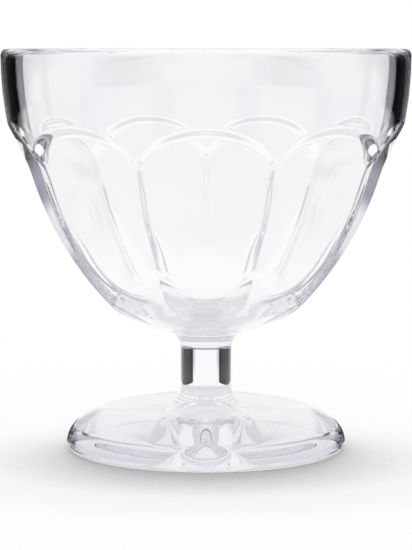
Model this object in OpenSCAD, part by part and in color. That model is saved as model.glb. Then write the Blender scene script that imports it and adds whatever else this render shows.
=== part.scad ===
// Parfait glass: a round bowl with flat arched panels, on a short stem and a thick round foot

/* [Rim and bowl] */
// Outside diameter at the rim
rim_d = 96; // [88:1:104]
// Depth inside the bowl, from the rim to the floor
bowl_depth = 64.1; // [60:0.1:68]
// Radius of the barrel curve of the plain band
band_curve_r = 83.5; // [70:0.5:110]
// Depth of the band below the rim, at the points where two arches meet
band_depth = 25; // [24.5:0.1:27]
// Wall of the band and thickness of its rounded rim
band_wall = 3.4; // [2.8:0.1:4]
// Wall of the bowl behind the panels
bowl_wall = 2.5; // [2:0.1:3]
// Thickness of the bowl's floor over the stem
floor_t = 3.6; // [2.5:0.1:5]
// Radius of the ball that forms the round bottom
under_r = 39.8; // [38.5:0.1:42]
// Height of the round bottom above the bowl's underside
turn_up = 19.7; // [18.5:0.1:22]

/* [Arched panels] */
// Number of panels round the bowl
panel_count = 9; // [7:1:12]
// Distance from the rim's edge inwards to the waist of a panel
waist_in = 8.45; // [7.8:0.05:9]
// Depth of the waist below the rim
waist_depth = 30.8; // [29:0.1:33]
// Lean of a panel at the waist, from upright
waist_lean = 17.3; // [15:0.1:20]
// Radius of the hollow curve under the arch
cove_r = 42.3; // [36:0.1:50]
// Distance from the rim's edge inwards to the lower end of a panel
run_in = 25.9; // [25:0.1:27]
// Height of that end above the bowl's underside
run_up = 6.8; // [6:0.1:7.6]

/* [Stem] */
// Diameter of the stem
stem_d = 12.1; // [10:0.1:14]
// Length of the straight stem between its two flares
stem_l = 9.7; // [6:0.1:20]
// Radius of the flare from the stem into the bowl
bowl_flare_r = 4; // [3:0.5:6]
// Radius of the flare from the stem into the foot
foot_flare_r = 4; // [3:0.5:6]

/* [Foot] */
// Diameter of the foot
foot_d = 66.2; // [60:0.2:72]
// Height of the foot's dome above the table
foot_h = 10.5; // [9:0.1:12]
// Radius of the dome's shoulder
foot_dome_r = 19.5; // [16:0.1:24]
// Radius of the foot's upper edge
foot_edge_r = 5.6; // [4.5:0.1:7]
// Rounding of the foot's lower edge
foot_low_round = 1.8; // [1.4:0.1:2.4]
// Width of the flat ring that stands on the table
ring_w = 3; // [2:0.1:5]
// Depth of the recess inside that ring
recess_h = 0.9; // [0.5:0.1:1.5]
// Radius of the hollow under the stem, at its mouth
hollow_r = 10.5; // [8:0.1:12]
// Glass left between the hollow's tip and the top of the flare
hollow_cover = 2.4; // [1.5:0.1:4]
// Radius of the hollow's rounded tip
hollow_tip_r = 2.2; // [1.5:0.1:3]

/* [Hidden] */
$fn = 96;

// Steps round the large curves
fine_fn = 180;

// Slack by which a cutting shape passes a face that it has to clear
pass = 1;

// Flat steps in each of a panel's two curves, and in the rounding inside the rim
panel_steps = 8;
lip_steps = 6;

// Flat land left on top of the rim
lip_land = 0.2;

rim_r = rim_d / 2;
stem_r = stem_d / 2;
foot_r = foot_d / 2;
lip_r = band_wall / 2;
waist_r = rim_r - waist_in;
run_r = rim_r - run_in;
panel_half = 180 / panel_count;

// Heights above the table, stacked from the foot up
flare_z = foot_h + foot_flare_r;
neck_z = flare_z + stem_l;
flare_centre_r = stem_r + bowl_flare_r;
under_z = neck_z + sqrt(pow(under_r + bowl_flare_r, 2) - pow(flare_centre_r, 2));
bottom_z = under_z - under_r;
turn_z = bottom_z + turn_up;
height = bottom_z + floor_t + bowl_depth;
lip_z = height - lip_r;
band_z = height - band_depth;
waist_z = height - waist_depth;

// Centres of the band's barrel curve and of a panel's two curves, in its upright mid section
band_centre = [rim_r - band_curve_r, lip_z];
lean_out = [cos(waist_lean), -sin(waist_lean)];
belly_run = [run_r - waist_r, bottom_z + run_up - waist_z];
belly_r = -(belly_run * belly_run) / (2 * belly_run * lean_out);
belly_centre = [waist_r, waist_z] - belly_r * lean_out;
cove_centre = [waist_r, waist_z] + cove_r * lean_out;

// Reach of one panel's cut: past the rim outwards, and past the ridges on both sides
clear_r = rim_r + pass;
panel_w = 2 * (rim_r * sin(panel_half) + pass);

// Radius at height z of a curve with its centre c and radius r
function curve_r(c, r, z) = c[0] + sqrt(r * r - (z - c[1]) * (z - c[1]));

// Height at which the cove's curve, a wall further in, has left the bowl altogether
function cove_top_z(wall) =
    cove_centre[1] + sqrt(pow(cove_r + wall, 2) - pow(cove_centre[0] - clear_r, 2));

// Unit vector from point a to point b
function towards(a, b) = (b - a) / norm(b - a);

// Point where the flare runs into the round bottom
flare_touch = [0, under_z] + under_r * towards([0, under_z], [flare_centre_r, neck_z]);

// Foot: the edge's arc runs into the dome's arc, and the dome's arc into the flat top
edge_centre = [foot_r - foot_edge_r, foot_low_round];
edge_turn = asin((foot_dome_r - foot_h + foot_low_round) / (foot_dome_r - foot_edge_r));
edge_out = [cos(edge_turn), sin(edge_turn)];
dome_centre = edge_centre - (foot_dome_r - foot_edge_r) * edge_out;
dome_touch_r = edge_centre[0] + foot_edge_r * edge_out[0];

// Round form of the bowl below its rim, from the axis outwards, inset by the band's wall and the floor
module round_section(band_in, floor_in) {
    foot_r_in = curve_r(band_centre, band_curve_r - band_in, band_z);
    turn_r_in = curve_r([0, under_z], under_r - floor_in, turn_z);
    intersection() {
        translate(band_centre) circle(r = band_curve_r - band_in, $fn = fine_fn);
        translate([0, band_z]) square([rim_r, lip_z - band_z]);
    }
    polygon([[0, turn_z], [turn_r_in, turn_z], [foot_r_in, waist_z], [foot_r_in, band_z], [0, band_z]]);
    intersection() {
        translate([0, under_z]) circle(r = under_r - floor_in, $fn = fine_fn);
        translate([0, bottom_z]) square([rim_r, turn_z - bottom_z]);
    }
}

// Outer half of the rounded rim, on a flat top
module rim_section() {
    translate([0, lip_z]) square([rim_r - lip_r, lip_r]);
    translate([rim_r - lip_r, lip_z]) circle(r = lip_r);
}

// Flare from the stem into the round bottom
module flare_section() {
    difference() {
        polygon([[0, neck_z], [flare_centre_r, neck_z], flare_touch, [0, flare_touch[1]]]);
        translate([flare_centre_r, neck_z]) circle(r = bowl_flare_r);
    }
}

// Mouth of the bowl, which rounds the rim's inner half and leaves the land on top
module mouth_section() {
    last = 180 - 90 * (lip_steps - 1) / lip_steps;
    edge = [rim_r - lip_r, lip_z] + lip_r * [cos(last), sin(last)];
    land = [rim_r - lip_r - lip_land, height];
    polygon(concat(
        [[0, lip_z]],
        [for (i = [0:lip_steps - 1])
            let (a = 180 - 90 * i / lip_steps)
            [rim_r - lip_r, lip_z] + lip_r * [cos(a), sin(a)]],
        [land + pass * towards(edge, land), [0, height + pass]]));
}

// Points of an arc about c between two heights, on its side away from the axis (1) or towards it (-1)
function arc_z(c, r, side, z0, z1) = [for (i = [0:panel_steps])
    let (z = z0 + (z1 - z0) * i / panel_steps)
    [c[0] + side * sqrt(r * r - (z - c[1]) * (z - c[1])), z]];

// What one panel takes away on the side +X, inset by the wall: a cove under the arch, then the belly
module panel_cut(wall) {
    split_z = waist_z - wall * lean_out[1];
    rotate([90, 0, 0])
        linear_extrude(height = panel_w, center = true)
            polygon(concat(
                [[clear_r, bottom_z]],
                arc_z(belly_centre, belly_r - wall, 1, bottom_z, split_z),
                arc_z(cove_centre, cove_r + wall, -1, split_z, cove_top_z(wall))));
}

// All the panels' cuts round the axis, the first one towards -Y
module panel_cuts(wall) {
    for (i = [0:panel_count - 1])
        rotate([0, 0, 2 * panel_half * i - 90])
            panel_cut(wall);
}

// Room inside the bowl, which follows the panels at the thickness of the wall
module bowl_room() {
    difference() {
        rotate_extrude($fn = fine_fn) {
            round_section(band_wall, floor_t);
            mouth_section();
        }
        panel_cuts(bowl_wall);
    }
}

module bowl() {
    color([0.90, 0.91, 0.95, 0.4])
        difference() {
            rotate_extrude($fn = fine_fn) {
                round_section(0, 0);
                rim_section();
                flare_section();
            }
            panel_cuts(0);
            bowl_room();
        }
}

module stem() {
    color([0.88, 0.89, 0.94, 0.4])
        translate([0, 0, flare_z])
            cylinder(h = neck_z - flare_z, r = stem_r);
}

// Outline of the foot with its flare, as a solid from the axis outwards
module foot_outline() {
    low_in = foot_r - foot_low_round;
    square([low_in, foot_low_round]);
    translate([low_in, foot_low_round]) circle(r = foot_low_round);
    intersection() {
        translate(edge_centre) circle(r = foot_edge_r);
        translate([dome_centre[0], foot_low_round]) square([foot_r, foot_h]);
    }
    intersection() {
        translate(dome_centre) circle(r = foot_dome_r, $fn = fine_fn);
        translate([dome_centre[0], 0]) square([dome_touch_r - dome_centre[0], foot_h]);
    }
    square([dome_centre[0], foot_h]);
    difference() {
        translate([0, foot_h - pass]) square([stem_r + foot_flare_r, foot_flare_r + pass]);
        translate([stem_r + foot_flare_r, flare_z]) circle(r = foot_flare_r);
    }
}

// Hollow under the stem and the shallow recess round it
module foot_hollow() {
    tip_z = flare_z - hollow_cover - hollow_tip_r;
    translate([0, -pass])
        square([foot_r - foot_low_round - ring_w, recess_h + pass]);
    polygon([[0, -pass], [hollow_r, -pass], [hollow_r, recess_h], [hollow_tip_r, tip_z], [0, tip_z]]);
    intersection() {
        translate([0, tip_z]) circle(r = hollow_tip_r);
        square([foot_r, flare_z]);
    }
}

module foot() {
    color([0.88, 0.89, 0.94, 0.4])
        rotate_extrude($fn = fine_fn)
            difference() {
                intersection() {
                    foot_outline();
                    square([foot_r, flare_z]);
                }
                foot_hollow();
            }
}

bowl();
stem();
foot();
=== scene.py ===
import math

import bpy
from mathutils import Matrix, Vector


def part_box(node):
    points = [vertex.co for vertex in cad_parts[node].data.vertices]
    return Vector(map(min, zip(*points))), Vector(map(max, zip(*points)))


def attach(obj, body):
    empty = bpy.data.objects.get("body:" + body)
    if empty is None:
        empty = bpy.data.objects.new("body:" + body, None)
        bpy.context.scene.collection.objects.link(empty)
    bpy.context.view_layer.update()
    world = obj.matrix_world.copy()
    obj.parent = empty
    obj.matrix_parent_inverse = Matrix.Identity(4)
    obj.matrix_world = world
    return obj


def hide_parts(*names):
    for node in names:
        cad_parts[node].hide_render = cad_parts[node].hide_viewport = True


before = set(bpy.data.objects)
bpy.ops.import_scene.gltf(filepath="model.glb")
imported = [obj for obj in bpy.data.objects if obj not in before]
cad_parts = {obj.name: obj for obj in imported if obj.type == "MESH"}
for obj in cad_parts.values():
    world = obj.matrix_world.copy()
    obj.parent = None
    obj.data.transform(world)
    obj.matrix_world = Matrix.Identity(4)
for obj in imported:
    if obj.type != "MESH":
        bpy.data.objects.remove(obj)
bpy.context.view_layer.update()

mm = 0.001
stemR = 6.05  # mm, where the three members run into one another
white = (1, 1, 1, 1)
black = (0.004, 0.004, 0.006, 1)


# shared modelling steps

turned = {
    "rings": 360,  # vertices round the axis
    "samePoint": 1e-4,  # mm, closer points of a section are one
    "seamGap": 2e-6,  # metres, closer vertices are merged
    "onAxis": 1e-6, "onLevel": 1e-6, "levelNormal": 0.99,
    "smoothDeg": 50,
}


def arcPoints(centre, radius, startDeg, endDeg, steps):
    points = []
    for i in range(steps + 1):
        turn = math.radians(startDeg + (endDeg - startDeg) * i / steps)
        points.append((centre[0] + radius * math.cos(turn), centre[1] + radius * math.sin(turn)))
    return points


def linePoints(start, end, steps):
    return [(start[0] + (end[0] - start[0]) * i / steps, start[1] + (end[1] - start[1]) * i / steps)
            for i in range(steps + 1)]


def softCorner(before, corner, after, radius, steps):
    # arc that rounds a corner of the section
    toA = (before[0] - corner[0], before[1] - corner[1])
    toB = (after[0] - corner[0], after[1] - corner[1])
    lenA, lenB = math.hypot(*toA), math.hypot(*toB)
    toA = (toA[0] / lenA, toA[1] / lenA)
    toB = (toB[0] / lenB, toB[1] / lenB)
    half = math.acos(toA[0] * toB[0] + toA[1] * toB[1]) / 2
    mid = (toA[0] + toB[0], toA[1] + toB[1])
    reach = radius / math.sin(half) / math.hypot(*mid)
    centre = (corner[0] + mid[0] * reach, corner[1] + mid[1] * reach)
    cut = radius / math.tan(half)
    start = (corner[0] + toA[0] * cut, corner[1] + toA[1] * cut)
    end = (corner[0] + toB[0] * cut, corner[1] + toB[1] * cut)
    points = []
    for chord in linePoints(start, end, steps):
        x, z = chord[0] - centre[0], chord[1] - centre[1]
        scale = radius / math.hypot(x, z)
        points.append((centre[0] + x * scale, centre[1] + z * scale))
    return points


def cleanSection(points):
    # drops points that fall on the one before
    kept = [points[0]]
    for point in points[1:]:
        if math.dist(point, kept[-1]) > turned["samePoint"]:
            kept.append(point)
    return kept


def turnSection(name, section):
    # a vertex is pushed along the section, then a screw modifier turns the line round the axis
    bpy.ops.object.select_all(action='DESELECT')
    bpy.ops.mesh.primitive_plane_add(size=mm, location=(0, 0, 0))
    piece = bpy.context.active_object
    piece.name = name
    piece.data.name = name
    bpy.ops.object.mode_set(mode='EDIT')
    bpy.ops.mesh.select_all(action='SELECT')
    bpy.ops.mesh.merge(type='CENTER')
    bpy.ops.transform.translate(value=(section[0][0] * mm, 0, section[0][1] * mm))
    for last, point in zip(section, section[1:]):
        step = ((point[0] - last[0]) * mm, 0, (point[1] - last[1]) * mm)
        bpy.ops.mesh.extrude_region_move(TRANSFORM_OT_translate={"value": step})
    bpy.ops.object.mode_set(mode='OBJECT')
    bpy.ops.object.modifier_add(type='SCREW')
    screw = piece.modifiers[-1]
    screw.axis = 'Z'
    screw.angle = 2 * math.pi
    screw.steps = turned["rings"]
    screw.render_steps = turned["rings"]
    screw.use_merge_vertices = True
    screw.merge_threshold = turned["seamGap"]
    bpy.ops.object.modifier_apply(modifier=screw.name)
    bpy.ops.object.mode_set(mode='EDIT')
    bpy.ops.mesh.select_all(action='SELECT')
    bpy.ops.mesh.remove_doubles(threshold=turned["seamGap"])
    bpy.ops.mesh.normals_make_consistent(inside=False)
    bpy.ops.object.mode_set(mode='OBJECT')
    return piece


def finishPiece(piece, node, glass, jointHeights):
    # the level faces at a joint height get the joint's material
    piece.data.materials.append(glass)
    piece.data.materials.append(jointGlass)
    for face in piece.data.polygons:
        atJoint = any(abs(face.center.z - height * mm) < turned["onLevel"] for height in jointHeights)
        face.material_index = 1 if atJoint and abs(face.normal.z) > turned["levelNormal"] else 0
    bpy.ops.object.select_all(action='DESELECT')
    piece.select_set(True)
    bpy.context.view_layer.objects.active = piece
    bpy.ops.object.shade_smooth_by_angle(angle=math.radians(turned["smoothDeg"]))
    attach(piece, "root")
    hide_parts(node)
    print(node, "done,", len(piece.data.polygons), "faces")


# shared material steps

mixColoursIn = (6, 7)  # a Mix node's two colour inputs, and its colour output
mixColourOut = 2


def bareMaterial(name):
    mat = bpy.data.materials.new(name)
    mat.use_nodes = True
    tree = mat.node_tree
    tree.nodes.remove(tree.nodes["Principled BSDF"])
    return mat, tree


def feed(tree, value, socket):
    # a number or a colour is set on the socket, another node's output is linked to it
    if isinstance(value, (int, float, tuple)):
        socket.default_value = value
    else:
        tree.links.new(value, socket)


def mathNode(tree, kind, one, two=0.0):
    node = tree.nodes.new("ShaderNodeMath")
    node.operation = kind
    feed(tree, one, node.inputs[0])
    feed(tree, two, node.inputs[1])
    return node.outputs[0]


def between(tree, value, low, high):
    # rises softly from 0 at low to 1 at high
    node = tree.nodes.new("ShaderNodeMapRange")
    node.interpolation_type = 'SMOOTHSTEP'
    feed(tree, value, node.inputs["Value"])
    feed(tree, low, node.inputs["From Min"])
    feed(tree, high, node.inputs["From Max"])
    return node.outputs["Result"]


def blend(tree, share, one, two):
    mix = tree.nodes.new("ShaderNodeMix")
    mix.data_type = 'RGBA'
    feed(tree, share, mix.inputs["Factor"])
    for place, colour in zip(mixColoursIn, (one, two)):
        feed(tree, colour, mix.inputs[place])
    return mix.outputs[mixColourOut]


def shaderOf(tree, kind, colour):
    node = tree.nodes.new(kind)
    feed(tree, colour, node.inputs["Color"])
    return node.outputs[0]


def mixShaders(tree, share, one, two):
    mix = tree.nodes.new("ShaderNodeMixShader")
    feed(tree, share, mix.inputs["Fac"])
    feed(tree, one, mix.inputs[1])
    feed(tree, two, mix.inputs[2])
    return mix.outputs[0]


def axesOf(tree, coordinates):
    coord = tree.nodes.new("ShaderNodeTexCoord")
    axes = tree.nodes.new("ShaderNodeSeparateXYZ")
    feed(tree, coord.outputs[coordinates], axes.inputs[0])
    return axes.outputs


# glass

clearGlass = {
    "tint": (1.0, 1.0, 1.0, 1), "tintDeep": (0.985, 0.985, 0.995, 1),
    "driftScale": 35.0, "driftDetail": 2.0, "deepUpTo": 0.35, "tintFrom": 0.65,
    "waveScale": 90.0, "waveDetail": 1.0, "waveStrength": 0.012, "waveDepth": 0.002,
    "bodyColour": (0.50, 0.48, 0.58, 1), "bodyDensity": 6.0,
    "ior": 1.51,
}


def makeGlass(name):
    mat = bpy.data.materials.new(name)
    mat.use_nodes = True
    tree = mat.node_tree
    nodes = tree.nodes
    shader = nodes["Principled BSDF"]
    shader.inputs["Transmission Weight"].default_value = 1.0
    shader.inputs["IOR"].default_value = clearGlass["ior"]
    shader.inputs["Roughness"].default_value = 0.0
    coord = nodes.new("ShaderNodeTexCoord")
    # clear, with the faintest lavender in drifting patches
    drift = nodes.new("ShaderNodeTexNoise")
    drift.inputs["Scale"].default_value = clearGlass["driftScale"]
    drift.inputs["Detail"].default_value = clearGlass["driftDetail"]
    ramp = nodes.new("ShaderNodeValToRGB")
    deep, tint = ramp.color_ramp.elements
    deep.position = clearGlass["deepUpTo"]
    deep.color = clearGlass["tintDeep"]
    tint.position = clearGlass["tintFrom"]
    tint.color = clearGlass["tint"]
    feed(tree, coord.outputs["Object"], drift.inputs["Vector"])
    feed(tree, drift.outputs["Fac"], ramp.inputs["Fac"])
    feed(tree, ramp.outputs["Color"], shader.inputs["Base Color"])
    # slow waves that the mould leaves in the surface
    waves = nodes.new("ShaderNodeTexNoise")
    waves.inputs["Scale"].default_value = clearGlass["waveScale"]
    waves.inputs["Detail"].default_value = clearGlass["waveDetail"]
    bump = nodes.new("ShaderNodeBump")
    bump.inputs["Strength"].default_value = clearGlass["waveStrength"]
    bump.inputs["Distance"].default_value = clearGlass["waveDepth"]
    feed(tree, coord.outputs["Object"], waves.inputs["Vector"])
    feed(tree, waves.outputs["Fac"], bump.inputs["Height"])
    feed(tree, bump.outputs["Normal"], shader.inputs["Normal"])
    # the body takes a little light on long ways through it
    body = nodes.new("ShaderNodeVolumeAbsorption")
    body.inputs["Color"].default_value = clearGlass["bodyColour"]
    body.inputs["Density"].default_value = clearGlass["bodyDensity"]
    feed(tree, body.outputs["Volume"], nodes["Material Output"].inputs["Volume"])
    return mat


def makeJoint(name):
    # hidden faces where one member runs on into the next, so no line shows inside the glass
    mat, tree = bareMaterial(name)
    through = tree.nodes.new("ShaderNodeBsdfTransparent")
    feed(tree, through.outputs["BSDF"], tree.nodes["Material Output"].inputs["Surface"])
    return mat


jointGlass = makeJoint("joint_clear")
print("glass mixed")


# bowl

bowlShape = {
    "rimR": 48.0, "bowlDepth": 64.1, "floorThick": 3.6, "turnUp": 19.7, "underR": 39.8,
    "bandCurveR": 83.5, "bandDepth": 25.0, "bandWall": 3.4, "bowlWall": 2.5,
    "panels": 9, "waistIn": 8.45, "waistDepth": 30.8, "waistLean": 17.3, "coveR": 42.3,
    "runIn": 25.9, "runUp": 6.8, "flareR": 4.0,
    "ridgeSoft": 0.42, "ridgeSoftLow": 0.2, "archSoft": 0.35,  # mm over which an edge is rounded
    "gather": 0.75,  # draws the vertices together at the ridges
    "wallFrom": 36.0, "archFrom": 66.0, "archTo": 79.5,  # heights where the rows' spacing changes
    "lowRows": 38, "archRows": 40, "bandRows": 8,
    "ballRows": 28, "ballCrowd": 1.6,
    "flareSteps": 16, "lipSteps": 20,
    "onWall": 1e-3,  # mm, a vertex this close to a wall belongs to it
}

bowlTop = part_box("bowl")[1][2] / mm
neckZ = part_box("bowl")[0][2] / mm
floorZ = bowlTop - bowlShape["bowlDepth"]
bottomZ = floorZ - bowlShape["floorThick"]
lipR = bowlShape["bandWall"] / 2
lipZ = bowlTop - lipR
waistZ = bowlTop - bowlShape["waistDepth"]
bandZ = bowlTop - bowlShape["bandDepth"]
turnZ = bottomZ + bowlShape["turnUp"]
underZ = bottomZ + bowlShape["underR"]
waistR = bowlShape["rimR"] - bowlShape["waistIn"]
lean = math.radians(bowlShape["waistLean"])
leanOut = (math.cos(lean), -math.sin(lean))
run = (bowlShape["rimR"] - bowlShape["runIn"] - waistR, bottomZ + bowlShape["runUp"] - waistZ)
bellyR = -(run[0] ** 2 + run[1] ** 2) / (2 * (run[0] * leanOut[0] + run[1] * leanOut[1]))
bellyCentre = (waistR - bellyR * leanOut[0], waistZ - bellyR * leanOut[1])
coveCentre = (waistR + bowlShape["coveR"] * leanOut[0], waistZ + bowlShape["coveR"] * leanOut[1])
bandCentre = (bowlShape["rimR"] - bowlShape["bandCurveR"], lipZ)


def circleR(centre, radius, z):
    return centre[0] + math.sqrt(max(radius ** 2 - (z - centre[1]) ** 2, 0))


def panelR(z, wall=0.0):
    # distance of a panel from the axis, in its middle; the inside runs a wall's thickness behind it
    if z < waistZ + wall * math.sin(lean):
        return circleR(bellyCentre, bellyR - wall, z)
    coveR = bowlShape["coveR"] + wall
    return coveCentre[0] - math.sqrt(max(coveR ** 2 - (z - coveCentre[1]) ** 2, 0))


def roundR(z, bandWall=0.0, floorThick=0.0):
    # the bowl before its panels are pressed
    bandR = bowlShape["bandCurveR"] - bandWall
    bandFoot = circleR(bandCentre, bandR, bandZ)
    if z >= bandZ:
        return circleR(bandCentre, bandR, min(z, lipZ))
    if z >= waistZ:
        return bandFoot
    ball = circleR((0, underZ), bowlShape["underR"] - floorThick, min(z, turnZ))
    if z >= turnZ:
        return ball + (bandFoot - ball) * (z - turnZ) / (waistZ - turnZ)
    return ball


def softMin(one, two, soft):
    near = max(soft - abs(one - two), 0) / soft
    return min(one, two) - near * near * soft / 4


def ballRows(startZ):
    # heights on the round bottom, closer where it lies flat
    count = bowlShape["ballRows"]
    return [startZ + (bowlShape["wallFrom"] - startZ) * (i / count) ** bowlShape["ballCrowd"]
            for i in range(count + 1)]


def wallRows():
    # heights on the wall above, closest where the arches run
    stretches = (
        (bowlShape["wallFrom"], bowlShape["archFrom"], bowlShape["lowRows"]),
        (bowlShape["archFrom"], bowlShape["archTo"], bowlShape["archRows"]),
        (bowlShape["archTo"], lipZ, bowlShape["bandRows"]),
    )
    return [low + (high - low) * i / count for low, high, count in stretches for i in range(1, count + 1)]


def bowlSection():
    # up the outside from the neck, over the lip and down the inside to the floor
    flareCentre = (stemR + bowlShape["flareR"], neckZ)
    touch = math.atan2(underZ - flareCentre[1], -flareCentre[0])
    points = [(0, neckZ), (stemR / 2, neckZ), (stemR, neckZ)]
    points += arcPoints(flareCentre, bowlShape["flareR"], 180, math.degrees(touch), bowlShape["flareSteps"])
    outside = ballRows(points[-1][1])[1:] + wallRows()
    points += [(roundR(z), z) for z in outside]
    points += arcPoints((bowlShape["rimR"] - lipR, lipZ), lipR, 0, 180, bowlShape["lipSteps"])
    inside = ballRows(floorZ)[:-1] + wallRows()
    points += [(roundR(z, bowlShape["bandWall"], bowlShape["floorThick"]), z) for z in reversed(inside)]
    points[-1] = (0, floorZ)
    return cleanSection(points)


def pressPanels(piece):
    # each point of the wall goes in to the nearest panel, with soft ridges and arches
    panels = bowlShape["panels"]
    step = 2 * math.pi / panels
    outside = (0, 0, 0)
    inside = (bowlShape["bandWall"], bowlShape["bowlWall"], bowlShape["floorThick"])
    softRange = bowlShape["ridgeSoft"] - bowlShape["ridgeSoftLow"]
    for vertex in piece.data.vertices:
        x, y, z = vertex.co
        radius = math.hypot(x, y)
        if radius < turned["onAxis"]:
            continue
        turn = math.atan2(y, x) + math.pi / 2
        turn += bowlShape["gather"] / panels * math.sin(panels * turn)
        height = z / mm
        onPanels = neckZ + bowlShape["flareR"] < height <= lipZ
        for bandWall, bowlWall, floorThick in (outside, inside):
            whole = roundR(height, bandWall, floorThick)
            if onPanels and abs(radius / mm - whole) < bowlShape["onWall"]:
                off = (turn + step / 2) % step - step / 2
                share = min(max((height - bottomZ) / (bandZ - bottomZ), 0), 1)
                face = panelR(height, bowlWall)
                panel = softMin(face / math.cos(off), face / math.cos(step - abs(off)),
                                bowlShape["ridgeSoftLow"] + softRange * share)
                radius = softMin(whole, panel, bowlShape["archSoft"]) * mm
                break
        vertex.co.x = radius * math.sin(turn)
        vertex.co.y = -radius * math.cos(turn)


bowl = turnSection("bowl_visual", bowlSection())
pressPanels(bowl)
finishPiece(bowl, "bowl", makeGlass("bowl_clear_glass"), [neckZ])


# stem

stemShape = {"rows": 24}
stemLowZ, stemHighZ = (corner[2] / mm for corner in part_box("stem"))


def stemSection():
    side = linePoints((stemR, stemLowZ), (stemR, stemHighZ), stemShape["rows"])
    lowEnd = [(0, stemLowZ), (stemR / 2, stemLowZ)]
    highEnd = [(stemR / 2, stemHighZ), (0, stemHighZ)]
    return cleanSection(lowEnd + side + highEnd)


stem = turnSection("stem_visual", stemSection())
finishPiece(stem, "stem", makeGlass("stem_clear_glass"), [stemLowZ, stemHighZ])


# foot

footShape = {
    "footR": 33.1, "height": 10.5, "domeR": 19.5, "edgeR": 5.6, "lowRound": 1.8, "ringWidth": 3.0,
    "recess": 0.9, "hollowR": 10.5, "hollowCover": 2.4, "tipR": 2.2, "flareR": 4.0,
    "ringSoft": 0.3, "recessSoft": 0.4, "mouthSoft": 1.2,  # radii of the softened corners underneath
    "mouthRoom": 2.0,  # even rows in the recess stop this far from the hollow
    "flareSteps": 20, "topSteps": 8, "domeSteps": 24, "edgeSteps": 24, "lowRoundSteps": 14,
    "ringSteps": 6, "recessSteps": 10, "mouthSteps": 8, "hollowSteps": 16, "tipSteps": 12,
}

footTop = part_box("foot")[1][2] / mm


def footSection():
    # down the outside from the stem, across the standing ring and up into the hollow
    edgeR, domeR, recess = footShape["edgeR"], footShape["domeR"], footShape["recess"]
    lowRound, flareR, tipR = footShape["lowRound"], footShape["flareR"], footShape["tipR"]
    edgeCentre = (footShape["footR"] - edgeR, lowRound)
    turn = math.asin((domeR - footShape["height"] + lowRound) / (domeR - edgeR))
    domeCentre = (edgeCentre[0] - (domeR - edgeR) * math.cos(turn),
                  edgeCentre[1] - (domeR - edgeR) * math.sin(turn))
    points = [(0, footTop), (stemR / 2, footTop), (stemR, footTop)]
    points += arcPoints((stemR + flareR, footTop), flareR, 180, 270, footShape["flareSteps"])
    points += linePoints(points[-1], (domeCentre[0], footShape["height"]), footShape["topSteps"])
    points += arcPoints(domeCentre, domeR, 90, math.degrees(turn), footShape["domeSteps"])
    points += arcPoints(edgeCentre, edgeR, math.degrees(turn), 0, footShape["edgeSteps"])
    lowIn = footShape["footR"] - lowRound
    points += arcPoints((lowIn, lowRound), lowRound, 0, -90, footShape["lowRoundSteps"])
    ringIn = lowIn - footShape["ringWidth"]
    ringLow, ringHigh = (ringIn, 0), (ringIn, recess)
    mouth = (footShape["hollowR"], recess)
    tipZ = footTop - footShape["hollowCover"] - tipR
    tip = (tipR, tipZ)
    points += softCorner((lowIn, 0), ringLow, ringHigh, footShape["ringSoft"], footShape["ringSteps"])
    points += softCorner(ringLow, ringHigh, mouth, footShape["recessSoft"], footShape["ringSteps"])
    points += linePoints(points[-1], (mouth[0] + footShape["mouthRoom"], recess), footShape["recessSteps"])
    points += softCorner(ringHigh, mouth, tip, footShape["mouthSoft"], footShape["mouthSteps"])
    points += linePoints(points[-1], tip, footShape["hollowSteps"])
    points += arcPoints((0, tipZ), tipR, 0, 90, footShape["tipSteps"])
    points[-1] = (0, tipZ + tipR)
    return cleanSection(points)


foot = turnSection("foot_visual", footSection())
finishPiece(foot, "foot", makeGlass("foot_clear_glass"), [footTop])


# painted flags in the floor and the sky, seen only by light that has met the glass: painted dark reflections
# and refractions in it

paintedFlags = {
    "paleTone": (0.925, 0.92, 0.935, 1),
    "nearColour": (0.60, 0.59, 0.64, 1), "farColour": (0.36, 0.35, 0.41, 1),
    "nearFrom": 0.86, "nearTo": 0.98,  # sines at which a flag sets in and is full
    "farFrom": 0.66, "farTo": 0.84, "deepFrom": 0.92, "deepTo": 0.98,
    "leastAround": 1e-6,  # keeps the division safe on the axis
}


def rayOutput(tree, name):
    return tree.nodes.new("ShaderNodeLightPath").outputs[name]


def seenThroughGlass(tree):
    return mathNode(tree, 'MAXIMUM', rayOutput(tree, "Is Transmission Ray"), rayOutput(tree, "Is Glossy Ray"))


def squares(tree, x, y):
    return mathNode(tree, 'MULTIPLY', x, x), mathNode(tree, 'MULTIPLY', y, y)


def aroundAxis(tree, x, y):
    # distance from the axis, squared
    return mathNode(tree, 'MAXIMUM', mathNode(tree, 'ADD', *squares(tree, x, y)), paintedFlags["leastAround"])


def sineOfTwice(tree, x, y, around):
    # sine of twice the angle round the axis
    double = mathNode(tree, 'MULTIPLY', mathNode(tree, 'MULTIPLY', x, y), 2.0)
    return mathNode(tree, 'DIVIDE', double, around)


def paintedNearFlags(tree, x, y, around):
    # share of the painted near flags, with a gap every 45 degrees
    sinTwo = sineOfTwice(tree, x, y, around)
    cosTwo = mathNode(tree, 'DIVIDE', mathNode(tree, 'SUBTRACT', *squares(tree, x, y)), around)
    sinFour = mathNode(tree, 'MULTIPLY', mathNode(tree, 'MULTIPLY', sinTwo, cosTwo), 2.0)
    return between(tree, mathNode(tree, 'ABSOLUTE', sinFour), paintedFlags["nearFrom"], paintedFlags["nearTo"])


def paintedFarFlags(tree, x, y, around):
    # painted dark flags far off with black in their middle, and a pale gap every 90 degrees
    strength = mathNode(tree, 'ABSOLUTE', sineOfTwice(tree, x, y, around))
    darkShare = between(tree, strength, paintedFlags["farFrom"], paintedFlags["farTo"])
    deepShare = between(tree, strength, paintedFlags["deepFrom"], paintedFlags["deepTo"])
    return blend(tree, deepShare, blend(tree, darkShare, paintedFlags["paleTone"], paintedFlags["farColour"]), black)


# floor

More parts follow.
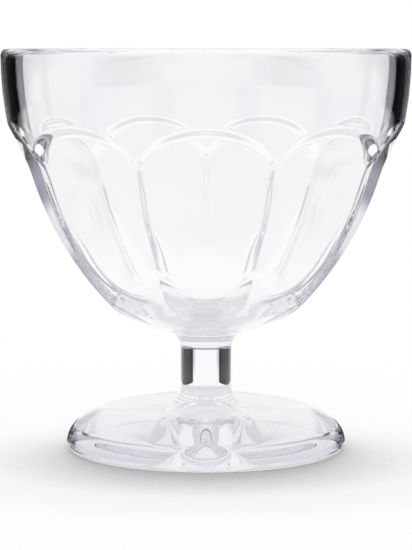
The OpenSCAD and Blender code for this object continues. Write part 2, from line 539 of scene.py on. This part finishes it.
floorPaper = {
    "size": 8.0, "grey": 0.9, "ownLight": 0.8,
    # the shadow settings make a painted shadow in the paper's glow
    "shadowReach": 0.05, "shadowDepth": 1.3, "shadowDarkest": 0.42, "shadowLean": (0, 0.92, 0.39),
    "shadowSamples": 16,
    # painted shadow under the foot, seen only through the glass
    "paintedUnderShadow": (0.80, 0.795, 0.82, 1), "paintedUnderShadowFrom": 0.030, "paintedUnderShadowTo": 0.037,  # distances in metres
    "nearFrom": 0.10, "nearFull": 0.15, "paleFrom": 0.25, "paleFull": 0.55, "farFrom": 0.54, "farFull": 0.64,
}


def pastRing(tree, around, start, full):
    # 0 inside the ring, 1 outside
    return between(tree, around, start ** 2, full ** 2)


def makeFloor():
    # white paper with a painted soft shadow close to the foot, darkened into its glow by ambient occlusion;
    # the glass sees painted flags and a painted shadow under the foot in it too
    bpy.ops.object.select_all(action='DESELECT')
    bpy.ops.mesh.primitive_plane_add(size=floorPaper["size"], location=(0, 0, 0))
    floor = bpy.context.active_object
    floor.name = "studio_floor"
    mat, tree = bareMaterial("studio_paper")
    slope = tree.nodes.new("ShaderNodeCombineXYZ")
    for place, value in enumerate(floorPaper["shadowLean"]):
        slope.inputs[place].default_value = value
    paintedShadowOcclusion = tree.nodes.new("ShaderNodeAmbientOcclusion")
    paintedShadowOcclusion.inputs["Distance"].default_value = floorPaper["shadowReach"]
    paintedShadowOcclusion.samples = floorPaper["shadowSamples"]
    feed(tree, slope.outputs[0], paintedShadowOcclusion.inputs["Normal"])
    # painted shadow: the paper's glow is darkened where ambient occlusion finds the foot close by
    shade = mathNode(tree, 'POWER', paintedShadowOcclusion.outputs["AO"], floorPaper["shadowDepth"])
    shade = mathNode(tree, 'MAXIMUM', shade, floorPaper["shadowDarkest"])
    grey = floorPaper["grey"]
    paper = shaderOf(tree, "ShaderNodeBsdfDiffuse", (grey, grey, grey, 1))
    paintedShadeGlow = shaderOf(tree, "ShaderNodeEmission", shade)
    paperAndPaintedShadow = mixShaders(tree, floorPaper["ownLight"], paper, paintedShadeGlow)
    # what the glass sees, from the axis outwards: a painted shadow under the foot, white, painted near flags,
    # a pale tone and painted far flags
    x, y = axesOf(tree, "Object")[:2]
    around = aroundAxis(tree, x, y)
    paleShare = pastRing(tree, around, floorPaper["paleFrom"], floorPaper["paleFull"])
    paintedUnderShadowShare = pastRing(tree, around, floorPaper["paintedUnderShadowFrom"], floorPaper["paintedUnderShadowTo"])
    nearShare = pastRing(tree, around, floorPaper["nearFrom"], floorPaper["nearFull"])
    farShare = pastRing(tree, around, floorPaper["farFrom"], floorPaper["farFull"])
    paintedShadeTone = blend(tree, paleShare, white, paintedFlags["paleTone"])
    # painted shadow under the foot
    paintedShadeTone = blend(tree, paintedUnderShadowShare, floorPaper["paintedUnderShadow"], paintedShadeTone)
    nearShare = mathNode(tree, 'MULTIPLY', paintedNearFlags(tree, x, y, around), nearShare)
    paintedShadeTone = blend(tree, nearShare, paintedShadeTone, paintedFlags["nearColour"])
    paintedShadeTone = blend(tree, farShare, paintedShadeTone, paintedFarFlags(tree, x, y, around))
    # painted reflections: this pattern glows only for light that has met the glass
    paintedReflectionPattern = shaderOf(tree, "ShaderNodeEmission", paintedShadeTone)
    surface = mixShaders(tree, seenThroughGlass(tree), paperAndPaintedShadow, paintedReflectionPattern)
    feed(tree, surface, tree.nodes["Material Output"].inputs["Surface"])
    floor.data.materials.append(mat)


# sky

sky = {
    "onFloor": 1.1,
    "flagsTo": 0.0, "flagsGone": 0.05,  # heights are the upward share of a direction
    "archFrom": 0.11, "archFull": 0.14, "archTo": 0.20, "archGone": 0.28,
    "paintedArchShade": (0.80, 0.795, 0.82, 1),
}


def makeSky():
    # white for the eye and the floor; the glass sees painted far flags low down, and a painted grey strip
    # that shades the arches
    world = bpy.data.worlds.new("studio_sky")
    bpy.context.scene.world = world
    world.use_nodes = True
    tree = world.node_tree
    tree.nodes.clear()
    x, y, up = axesOf(tree, "Generated")
    # painted shade: a grey strip that only light passing through the glass meets, for grey lines in the
    # arches
    paintedArchStrip = between(tree, up, sky["archFrom"], sky["archFull"])
    paintedArchStrip = mathNode(tree, 'MULTIPLY', paintedArchStrip, rayOutput(tree, "Is Transmission Ray"))
    paintedShadeTone = blend(tree, paintedArchStrip, white, sky["paintedArchShade"])
    paintedShadeTone = blend(tree, between(tree, up, sky["archTo"], sky["archGone"]), paintedShadeTone, white)
    clear = between(tree, up, sky["flagsTo"], sky["flagsGone"])
    paintedShadeTone = blend(tree, clear, paintedFarFlags(tree, x, y, aroundAxis(tree, x, y)), paintedShadeTone)
    paintedReflectionPattern = shaderOf(tree, "ShaderNodeBackground", paintedShadeTone)
    plain = shaderOf(tree, "ShaderNodeBackground", white)
    onFloor = shaderOf(tree, "ShaderNodeBackground", white)
    onFloor.node.inputs["Strength"].default_value = sky["onFloor"]
    light = mixShaders(tree, seenThroughGlass(tree), onFloor, paintedReflectionPattern)
    light = mixShaders(tree, rayOutput(tree, "Is Camera Ray"), light, plain)
    output = tree.nodes.new("ShaderNodeOutputWorld")
    feed(tree, light, output.inputs["Surface"])


# cards that paint dark edges and dark bars on the stem, painted shade met only by light that leaves the glass

stemCards = {
    "count": 4, "firstDeg": 45, "away": 75.0, "width": 71.0, "low": 3.4, "high": 16.0,
    "passDepth": 2.5,  # light with more turns behind it passes the cards
}

edgeCards = {
    "leanDeg": 2.0, "off": 0.5, "rows": 22,
    "shownTo": 0.21, "goneFrom": 0.31,  # how far aslant a card is met
}

bowlCards = {
    "back": 8.0, "width": 17.0, "low": 29.0, "high": 100.0,
    "ridgeOut": 1.03,  # ridges stand out this much further than a panel's middle
    "lowPaintedShade": (0.42, 0.41, 0.47, 1),
    "paintedShadesByHeight": (  # height where each painted shade starts, height where it is full, and the painted shade
        (43.0, 47.0, (0.82, 0.81, 0.86, 1)),
        (54.0, 59.0, (0.24, 0.23, 0.30, 1)),
        (63.0, 69.0, black),
    ),
}

footCards = {
    "back": 6.0, "width": 12.0, "low": 0.3, "high": 6.2,
    "uprightTo": 3.0, "slope": 1.1,  # outline of the foot's end, upright and then leaning in
    "lowPaintedShade": black, "paintedShadesByHeight": (),
    "passDepth": 2.5,
}


def passedMore(tree, count, limit):
    # 1 for light that has met more glass than the limit
    return mathNode(tree, 'GREATER_THAN', rayOutput(tree, count), limit)


def paintCard(tree, paintedShadeTone, gone):
    # painted shade: the card's tone glows only for light that leaves the glass
    paintedShadeGlow = shaderOf(tree, "ShaderNodeEmission", paintedShadeTone)
    through = tree.nodes.new("ShaderNodeBsdfTransparent").outputs[0]
    surface = mixShaders(tree, gone, paintedShadeGlow, through)
    feed(tree, surface, tree.nodes["Material Output"].inputs["Surface"])


def hideCard(card, mat):
    # neither the eye nor the floor meets a card
    card.visible_camera = False
    card.visible_diffuse = False
    card.visible_shadow = False
    card.data.materials.append(mat)


def makeStemCards(name):
    # upright black cards round the glass that paint dark bars on the stem, met by light that runs straight
    # through the stem
    mat, tree = bareMaterial(name)
    # painted shade: black for the stem's dark bars
    paintCard(tree, black, passedMore(tree, "Ray Depth", stemCards["passDepth"]))
    low, high, away = stemCards["low"], stemCards["high"], stemCards["away"]
    for i in range(stemCards["count"]):
        turn = math.radians(stemCards["firstDeg"] + 360 * i / stemCards["count"])
        bpy.ops.object.select_all(action='DESELECT')
        bpy.ops.mesh.primitive_plane_add(size=mm, rotation=(math.pi / 2, 0, turn + math.pi / 2))
        card = bpy.context.active_object
        card.name = name + "_" + str(i + 1)
        card.scale = (stemCards["width"], high - low, 1)
        card.location = (away * math.cos(turn) * mm, away * math.sin(turn) * mm, (low + high) / 2 * mm)
        card.visible_glossy = False
        hideCard(card, mat)


def bowlEdge(z):
    if z < bandZ:
        return min(roundR(z), panelR(z) * bowlCards["ridgeOut"])
    return roundR(z)


def footEdge(z):
    return footShape["footR"] - max(z - footCards["uprightTo"], 0) * footCards["slope"]


def makeEdgeCards(name, edgeAt, cards):
    # cards close beside the glass, cut to its outline, that paint its edges dark, the bowl's shaded by
    # height; light that meets them aslant passes
    mat, tree = bareMaterial(name)
    up = axesOf(tree, "Object")[2]
    # painted shade on the edges, changing with height from the low tone upwards
    paintedShadeTone = cards["lowPaintedShade"]
    for start, full, nextPaintedShade in cards["paintedShadesByHeight"]:
        paintedShadeTone = blend(tree, between(tree, up, start * mm, full * mm), paintedShadeTone, nextPaintedShade)
    slant = tree.nodes.new("ShaderNodeLayerWeight").outputs["Facing"]
    gone = between(tree, slant, edgeCards["shownTo"], edgeCards["goneFrom"])
    if "passDepth" in cards:
        gone = mathNode(tree, 'MAXIMUM', gone, passedMore(tree, "Transmission Depth", cards["passDepth"]))
    paintCard(tree, paintedShadeTone, gone)
    cardLean = math.tan(math.radians(edgeCards["leanDeg"]))
    for quarter in range(4):
        turn = math.pi / 2 * quarter
        for place, side in enumerate((-1, 1), start=1):
            bpy.ops.object.select_all(action='DESELECT')
            bpy.ops.mesh.primitive_grid_add(x_subdivisions=1, y_subdivisions=edgeCards["rows"], size=1)
            card = bpy.context.active_object
            card.name = name + "_" + str(2 * quarter + place)
            for vertex in card.data.vertices:
                z = cards["low"] + (vertex.co.y + 0.5) * (cards["high"] - cards["low"])
                out = (vertex.co.x + 0.5) * cards["width"]
                x = side * (edgeAt(z) + edgeCards["off"] + out)
                y = cards["back"] + out * cardLean
                vertex.co = ((x * math.cos(turn) - y * math.sin(turn)) * mm,
                             (x * math.sin(turn) + y * math.cos(turn)) * mm, z * mm)
            hideCard(card, mat)


makeFloor()
makeSky()
makeEdgeCards("bowl_painted_edge_shade", bowlEdge, bowlCards)
makeEdgeCards("foot_painted_edge_shade", footEdge, footCards)
makeStemCards("stem_painted_shade_card")
print("studio set")


# camera

eye = {
    "away": 508.0, "height": 93.9, "downDeg": 5.909, "focalPixels": 2154.7, "imageWidth": 412,
    "nearest": 0.01,
    "bounces": 64,  # light runs a long way inside the walls
}

camData = bpy.data.cameras.new("photo_camera")
camera = bpy.data.objects.new("photo_camera", camData)
scene = bpy.context.scene
scene.collection.objects.link(camera)
camera.location = (0, -eye["away"] * mm, eye["height"] * mm)
camera.rotation_euler = (math.radians(90 - eye["downDeg"]), 0, 0)
camData.sensor_fit = 'HORIZONTAL'
camData.lens = camData.sensor_width * eye["focalPixels"] / eye["imageWidth"]
camData.clip_start = eye["nearest"]
scene.camera = camera
scene.view_settings.view_transform = 'Standard'
scene.cycles.max_bounces = eye["bounces"]
scene.cycles.transmission_bounces = eye["bounces"]
scene.cycles.glossy_bounces = eye["bounces"]
print("camera set")
